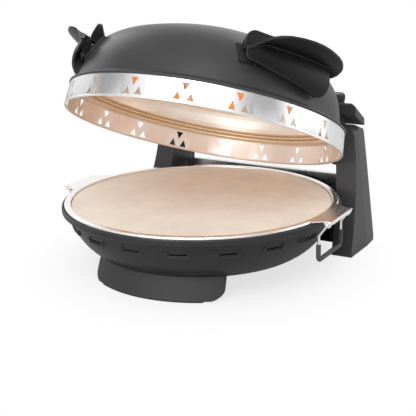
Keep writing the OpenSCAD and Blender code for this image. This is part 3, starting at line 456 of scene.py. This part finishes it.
curl = [(curl_reach + curl_radius * math.cos(a), curl_radius + curl_radius * math.sin(a))
        for a in (math.radians(-120 + 15 * i) for i in range(13))]
band_line = curl + [curl_root, (band_top_radius, band_height)]
sector = math.tau / vent_groups
aim_front = Matrix.Rotation(-math.pi / 2 - sector / 2, 3, "Z")
band_shape = turned([aim_front @ Vector((r, 0, z)) for r, z in band_line], 20, sector)
half = vent_width / 2
for side in (-1, 1):
    x = side * vent_reach
    pierce(band_shape, [(x - half, vent_low), (x, vent_low + vent_height), (x + half, vent_low)])
upper = vent_low + vent_height + vent_gap
pierce(band_shape, [(-half, upper + vent_height), (half, upper + vent_height), (0, upper)])
whole = band_shape.verts[:] + band_shape.edges[:] + band_shape.faces[:]
bmesh.ops.spin(band_shape, geom=whole, cent=(0, 0, 0), axis=(0, 0, 1), angle=math.tau - sector,
               steps=vent_groups - 1, use_duplicate=True)
bmesh.ops.remove_doubles(band_shape, verts=band_shape.verts, dist=1e-6)
bmesh.ops.recalc_face_normals(band_shape, faces=band_shape.faces)
band_steel = brushed_finish("band_steel",
                            {"Tone": (0.82, 0.82, 0.825, 1), "Gloss": 0.30, "Streak": 0.012},
                            open_lid.translation, lid_open, edge=0.0003, bump=0.012, Metallic=1.0)
band_inside = finish_of("band_inside", heat_tint,
                        {"Tone": (0.97, 0.90, 0.86, 1), "Tint": (0.90, 0.71, 0.61, 1),
                         "Share": 0.6, "Gloss": 0.34}, edge=0.0003, bump=0.02, Metallic=0.85)
band = as_piece("lid_band_rolled", band_shape, open_lid, [band_steel, band_inside], "lid",
                wall=band_wall)
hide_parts("lid_band")


# ---------- Lid lining ----------
# A beaded ring closes the band to a bright pressed reflector, and the heat has tinted both.
# Mineral wool and a brass thermal fuse lie over the reflector.

flange_steel = finish_of("flange_steel", heat_tint,
                         {"Tone": (0.88, 0.72, 0.53, 1), "Tint": (0.90, 0.76, 0.58, 1),
                          "Gloss": 0.40}, edge=0.0006, bump=0.05, Metallic=0.8)
reflector_steel = finish_of("reflector_steel", heat_tint,
                            {"Tone": (0.97, 0.93, 0.86, 1), "Tint": (0.90, 0.79, 0.62, 1),
                             "Gloss": 0.36}, edge=0.0004, bump=0.02, Metallic=0.9)
mineral_wool = finish_of("mineral_wool", fired_body, {"Tone": (0.75, 0.70, 0.60, 1), "Gloss": 0.95},
                         bump=0.6)
brass = finish_of("brass", heat_tint,
                  {"Tone": (0.66, 0.50, 0.24, 1), "Tint": (0.55, 0.40, 0.20, 1), "Gloss": 0.3},
                  edge=0.0003, Metallic=1.0)
paint(flange_steel, "lid_flange")
paint(reflector_steel, "lid_reflector")
paint(mineral_wool, "lid_insulation")
paint(brass, "lid_fuse")


# ---------- Upper heater ----------
# The upper element is a sheathed ring that hangs from the reflector in four folded clips. It is
# hot, and glows orange in patches.

dull_heat, bright_heat = (0.90, 0.15, 0.006, 1), (1.0, 0.26, 0.012, 1)
glowing = finish_of("glowing_sheath", heat_tint,
                    {"Tone": (0.20, 0.09, 0.05, 1), "Tint": (0.30, 0.12, 0.05, 1), "Gloss": 0.5},
                    edge=0.0004, bump=0.2, Emission_Strength=1.0)
tree = glowing.node_tree
place = put(tree, "TexCoord").outputs["Object"]
patches = put(tree, "TexNoise", {"Vector": place, "Scale": 60.0, "Detail": 2.0})
heat = put(tree, "ValToRGB", [patches.outputs[0]])
for stop, level, colour in zip(heat.color_ramp.elements, (0.3, 0.7), (dull_heat, bright_heat)):
    stop.position, stop.color = level, colour
tree.links.new(heat.outputs[0], tree.nodes["Principled BSDF"].inputs["Emission Color"])
paint(glowing, "upper_element")
paint(reflector_steel, "upper_element_clips")


# ---------- Lid handles and arms ----------
# Each handle is one moulding: a scoop, whose finger guard folds out into a wing, and an upright
# blade. It is screwed from inside the dome, over a pad that keeps the heat off it. The arms are
# moulded too. Sizes here are in millimetres: out from the handle's arc, along it and up.

handle_bearing, handle_radius, handle_level = math.radians(-30), 166, 75
guard_wall, fold_wall, rear_corner = 3.3, 2.6, 52
wing_wall, wing_sag, full_sag_width, rim_roll = 2.3, 1.6, 18, 1.2
blade_radius, blade_top, blade_corner, blade_straight = 138, 21, 14, 40
blade_foot, blade_end_foot, end_swell = 3, -3, 4
scoop_ends, blade_ends, block_ends, shelf_ends = (-61, 78), (-61.9, 61.9), (-47, 46), (-38, 54)
# faces by their height: (up, out)
guard_outer = [(-37, -5), (-31, -0.6), (-25, 1.6), (-18, 2.3), (-11, 1.6), (-4, -1.2), (4.5, -5.5)]
blade_inner = [(-5, -38), (8, -33.3), (21, -28.5)]
blade_outer = [(-5, -19), (2, -19), (21, -24.7)]
# lines that run from the front to the rear: (along, up), then (along, out, up)
guard_foot = [(-61, -9), (-60, -13), (-58, -15.5), (-19, -24.2), (20, -30.6), (36, -33.2),
              (41, -31.8), (45, -28.5), (48.5, -22), (51, -8), (52.5, 4.4)]
fold_line = [(-61, 0.6, -5.6), (-50, -1.5, -0.6), (-38, -5.5, 4.5), (54, -5.5, 4.5), (62, -7, 3.4),
             (70, -11, 1.4), (78, -15, 0)]
wing_rim = [(-61, 1.2, -4.8), (-50, 2.2, 3.0), (-42, 3.2, 8.6), (-35.7, 5.0, 12.7), (-29.5, 8.4, 14.8),
            (-20.7, 11.9, 16.6), (-8, 14.0, 17.9), (5, 15.0, 18.5), (16.4, 15.0, 18.5),
            (30.6, 13.4, 17.6), (47.5, 10.3, 15.9), (59, 7.4, 14.3), (66, 4.6, 13.0), (71, 2.4, 10.8),
            (75, -2.0, 7.6), (77.3, -8.0, 3.8), (78, -13.0, 1.4)]
# sections that stay the same: (out, up)
block_ring = [(-9, -19.5), (-4.8, -16.5), (-4, -2), (-15.4, -1.5), (-13.5, -10)]
shelf_ring = [(-16, -3), (-16.6, 4.4), (-9, 6.4), (-6.5, 4.6), (-6.5, -3)]
# the paler edge tone paints the highlight lines along the handles' rims
handle_plastic = finish_of("handle_plastic", moulded_grain,
                           {"Tone": (0.006, 0.006, 0.0063, 1), "Gloss": 0.42},
                           edge=0.0012, edge_highlight_tone=(0.20, 0.20, 0.20), edge_highlight_share=0.5, bump=0.08,
                           Specular_IOR_Level=0.18)


def between(table, value):
    """Reads a table of rows, the first figure of each being its key, at a value between the keys."""
    value = min(max(value, table[0][0]), table[-1][0])
    for low, high in zip(table, table[1:]):
        if value <= high[0]:
            share = (value - low[0]) / (high[0] - low[0])
            return [a + (b - a) * share for a, b in zip(low[1:], high[1:])]


def on_handle(side, out, along, up):
    """A place on the lid, out from the handle's arc, along it from its middle, and up."""
    bearing, reach = handle_bearing + along / handle_radius, (handle_radius + out) / 1000
    level = (handle_level + up) / 1000
    return Vector((side * reach * math.cos(bearing), reach * math.sin(bearing), level))


def lofted(side, first, last, steps, section):
    """A closed moulding along the handle's arc. Its section is a ring of (out, up) at each place."""
    shape = bmesh.new()
    count = len(section(0.0))
    bmesh.ops.create_grid(shape, x_segments=steps, y_segments=count, size=0.5)
    for point in shape.verts:
        along = first + (last - first) * (point.co.x + 0.5)
        out, up = section(along)[round((point.co.y + 0.5) * count) % count]
        point.co = on_handle(side, out, along, up)
    bmesh.ops.remove_doubles(shape, verts=shape.verts, dist=1e-5)
    bmesh.ops.holes_fill(shape, edges=[edge for edge in shape.edges if edge.is_boundary], sides=0)
    bmesh.ops.recalc_face_normals(shape, faces=shape.faces)
    return shape


def scoop_section(along):
    """The guard's outer face up to the fold, the wing's lower face to its rim, and back behind."""
    rows = 9
    fold_out, fold_up = between(fold_line, along)
    rim_out, rim_up = between(wing_rim, along)
    foot = min(between(guard_foot, along)[0], fold_up - 0.1)
    miss = fold_out - between(guard_outer, fold_up)[0]
    front = []
    for row in range(rows):
        share = row / rows
        up = foot + (fold_up - foot) * share
        lean = miss * (share ** 2 if along < rear_corner else 1)
        front.append((between(guard_outer, up)[0] + lean, up))
    lip, width = max(rim_up - wing_wall, fold_up), rim_out - fold_out
    for row in range(rows):
        share = row / (rows - 1)
        sag = wing_sag * 4 * share * (1 - share) * min(1.0, width / full_sag_width)
        front.append((fold_out + width * share, fold_up + (lip - fold_up) * share - sag))
    behind = [(out - guard_wall, up) for out, up in front[:rows]]
    for row, (out, up) in enumerate(front[rows:]):
        roll = rim_roll * (1 - row / (rows - 1))
        behind.append((out - roll, up + wing_wall + roll))
    behind[rows] = (front[rows][0] - guard_wall, front[rows][1] + fold_wall)
    return front + behind[::-1]


def blade_section(along):
    """The upright blade. It is straight, so it stands further out along the arc towards its ends,
    where it also reaches further down. Its upper corners are round."""
    beyond = max(abs(blade_radius * math.tan(along / handle_radius)) - blade_straight, 0)
    top = blade_top - blade_corner + math.sqrt(max(blade_corner ** 2 - beyond ** 2, 0))
    swell = blade_radius * (1 / math.cos(along / handle_radius) - 1)
    foot = blade_end_foot if swell > end_swell else blade_foot
    levels = [foot + (top - foot) * row / 5 for row in range(6)]
    return ([(between(blade_inner, up)[0] + swell, up) for up in levels]
            + [(between(blade_outer, up)[0] + swell, up) for up in levels[::-1]])


def lid_handle(name, side, node):
    """The scoop, the blade, and the block and shelf that join them to the dome, as one piece."""
    whole = bmesh.new()
    parts = [lofted(side, *scoop_ends, 98, scoop_section), lofted(side, *blade_ends, 60, blade_section),
             lofted(side, *block_ends, 40, lambda along: block_ring),
             lofted(side, *shelf_ends, 40, lambda along: shelf_ring)]
    for part in parts:
        mesh = bpy.data.meshes.new("part")
        part.to_mesh(mesh)
        part.free()
        whole.from_mesh(mesh)
        bpy.data.meshes.remove(mesh)
    piece = as_piece(name, whole, open_lid, [handle_plastic], "lid", crease=28)
    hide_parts(node)


lid_handle("right_scoop", 1, "right_lid_handle")
lid_handle("left_scoop", -1, "left_lid_handle")
paint(housing_plastic, "right_handle_pad", "left_handle_pad", "right_lid_arm", "left_lid_arm")
paint(zinc, "handle_screws", "arm_screws")


# ---------- Studio ----------
# A pale floor under five soft boxes, the strongest at the front right, in a surround that the
# camera and the gloss see as white. The floor turns to plain white away from the oven, and two
# cards shade the steel.

shadow_end, white_start, least_white = 0.11, 0.25, 0.72


def floor_finish():
    """Matt white paper that keeps the oven's shadow near it, and shows plain white further off."""
    made = bpy.data.materials.new("studio_floor")
    made.use_nodes = True
    tree = made.node_tree
    shader = tree.nodes["Principled BSDF"]
    shader.inputs["Base Color"].default_value = (0.86, 0.86, 0.86, 1)
    shader.inputs["Roughness"].default_value = 0.9
    shader.inputs["Specular IOR Level"].default_value = 0.1
    white = put(tree, "Emission", [(1, 1, 1, 1), 1.0])
    place = put(tree, "TexCoord").outputs["Object"]
    reach = put(tree, "VectorMath", [place], operation="LENGTH")
    far = put(tree, "MapRange", [reach.outputs["Value"], shadow_end, white_start, least_white, 1.0],
              interpolation_type="SMOOTHSTEP")
    seen = put(tree, "LightPath").outputs["Is Camera Ray"]
    share = put(tree, "Math", [far.outputs[0], seen], operation="MULTIPLY")
    mixed = put(tree, "MixShader", [share.outputs[0], shader.outputs[0], white.outputs[0]])
    tree.links.new(mixed.outputs[0], tree.nodes["Material Output"].inputs["Surface"])
    return made


ground = bmesh.new()
bmesh.ops.create_circle(ground, cap_ends=True, segments=96, radius=14)
floor_mesh = bpy.data.meshes.new("floor")
ground.to_mesh(floor_mesh)
ground.free()
floor = bpy.data.objects.new("floor", floor_mesh)
floor_mesh.materials.append(floor_finish())
bpy.context.scene.collection.objects.link(floor)


def soft_lamp(name, place, target, size, power):
    """A square soft box that faces a point."""
    light = bpy.data.lights.new(name, "AREA")
    light.size, light.energy = size, power
    lamp = bpy.data.objects.new(name, light)
    lamp.location = place
    lamp.rotation_euler = (Vector(target) - Vector(place)).to_track_quat("-Z", "Y").to_euler()
    bpy.context.scene.collection.objects.link(lamp)


soft_lamp("key_lamp", (0.50, -1.31, 1.38), (0, -0.1, 0.05), 1.1, 16.0)
soft_lamp("front_lamp", (-0.1, -1.5, 0.5), (0, -0.3, 0.0), 0.7, 5.0)
soft_lamp("left_lamp", (-1.3, 0.5, 1.0), (0, 0, 0.15), 0.8, 3.2)
soft_lamp("side_lamp", (1.4, 0.75, 0.5), (0, 0, 0.12), 1.3, 4.0)
soft_lamp("back_lamp", (0.2, 1.4, 1.2), (0, 0, 0.15), 1.0, 4.0)

card_reach, card_centre = 1.4, Vector((0, 0, 0.12))
card_grey = bpy.data.materials.new("card_grey")
card_grey.use_nodes = True
card_shader = card_grey.node_tree.nodes["Principled BSDF"]
card_shader.inputs["Base Color"].default_value = (0.35, 0.35, 0.35, 1)
card_shader.inputs["Roughness"].default_value = 1.0


def way_to(bearing, height):
    """The direction of a place, by its bearing from the front and its angle over the floor."""
    flat = math.cos(height)
    return Vector((math.sin(bearing) * flat, -math.cos(bearing) * flat, math.sin(height)))


def grey_card(name, bearing, height, size):
    """A matt grey card that faces the oven. Only the gloss of the steel and the enamel sees it."""
    sheet = bmesh.new()
    bmesh.ops.create_grid(sheet, x_segments=1, y_segments=1, size=size / 2)
    way = way_to(math.radians(bearing), math.radians(height))
    stand = Matrix.Translation(way * card_reach + card_centre)
    facing = way.to_track_quat("Z", "Y").to_matrix().to_4x4()
    bmesh.ops.transform(sheet, matrix=stand @ facing, verts=sheet.verts)
    mesh = bpy.data.meshes.new(name)
    sheet.to_mesh(mesh)
    sheet.free()
    card = bpy.data.objects.new(name, mesh)
    mesh.materials.append(card_grey)
    card.visible_camera = card.visible_diffuse = card.visible_shadow = False
    bpy.context.scene.collection.objects.link(card)


grey_card("left_card", -64, 27, 0.8)
grey_card("right_card", 80, 27, 0.75)

surround = bpy.data.worlds.new("surround")
surround.use_nodes = True
bpy.context.scene.world = surround
sky = surround.node_tree
ambient = sky.nodes["Background"]
ambient.inputs["Color"].default_value = (1, 1, 1, 1)
ambient.inputs["Strength"].default_value = 0.5
white = put(sky, "Background", [(1, 1, 1, 1), 1.0])
path = put(sky, "LightPath").outputs
seen = put(sky, "Math", [path["Is Camera Ray"], path["Is Glossy Ray"]], operation="MAXIMUM")
seen = put(sky, "Math", [seen.outputs[0], path["Is Transmission Ray"]], operation="MAXIMUM")
either = put(sky, "MixShader", [seen.outputs[0], ambient.outputs[0], white.outputs[0]])
sky.links.new(either.outputs[0], sky.nodes["World Output"].inputs["Surface"])

# the camera stands on the right of the front, a little above the tray
azimuth, elevation, roll = math.radians(29.250), math.radians(16.012), math.radians(0.873)
camera_distance, aim_right, aim_height = 1.20761, 0.007753, 0.069812
focal_pixels, image_pixels, sensor_width = 999.886, 416, 36
back = way_to(azimuth, elevation)
right = Vector((math.cos(azimuth), math.sin(azimuth), 0))
up = back.cross(right)
aim = right * aim_right + Vector((0, 0, aim_height)) + bowl_axis
camera_data = bpy.data.cameras.new("camera")
camera_data.sensor_width = sensor_width
camera_data.lens = sensor_width * focal_pixels / image_pixels
camera = bpy.data.objects.new("camera", camera_data)
turn = Matrix((right * math.cos(roll) - up * math.sin(roll),
               right * math.sin(roll) + up * math.cos(roll), back))
camera.matrix_world = Matrix.Translation(aim + back * camera_distance) @ turn.transposed().to_4x4()
bpy.context.scene.collection.objects.link(camera)
bpy.context.scene.camera = camera
bpy.context.scene.view_settings.view_transform = "Standard"
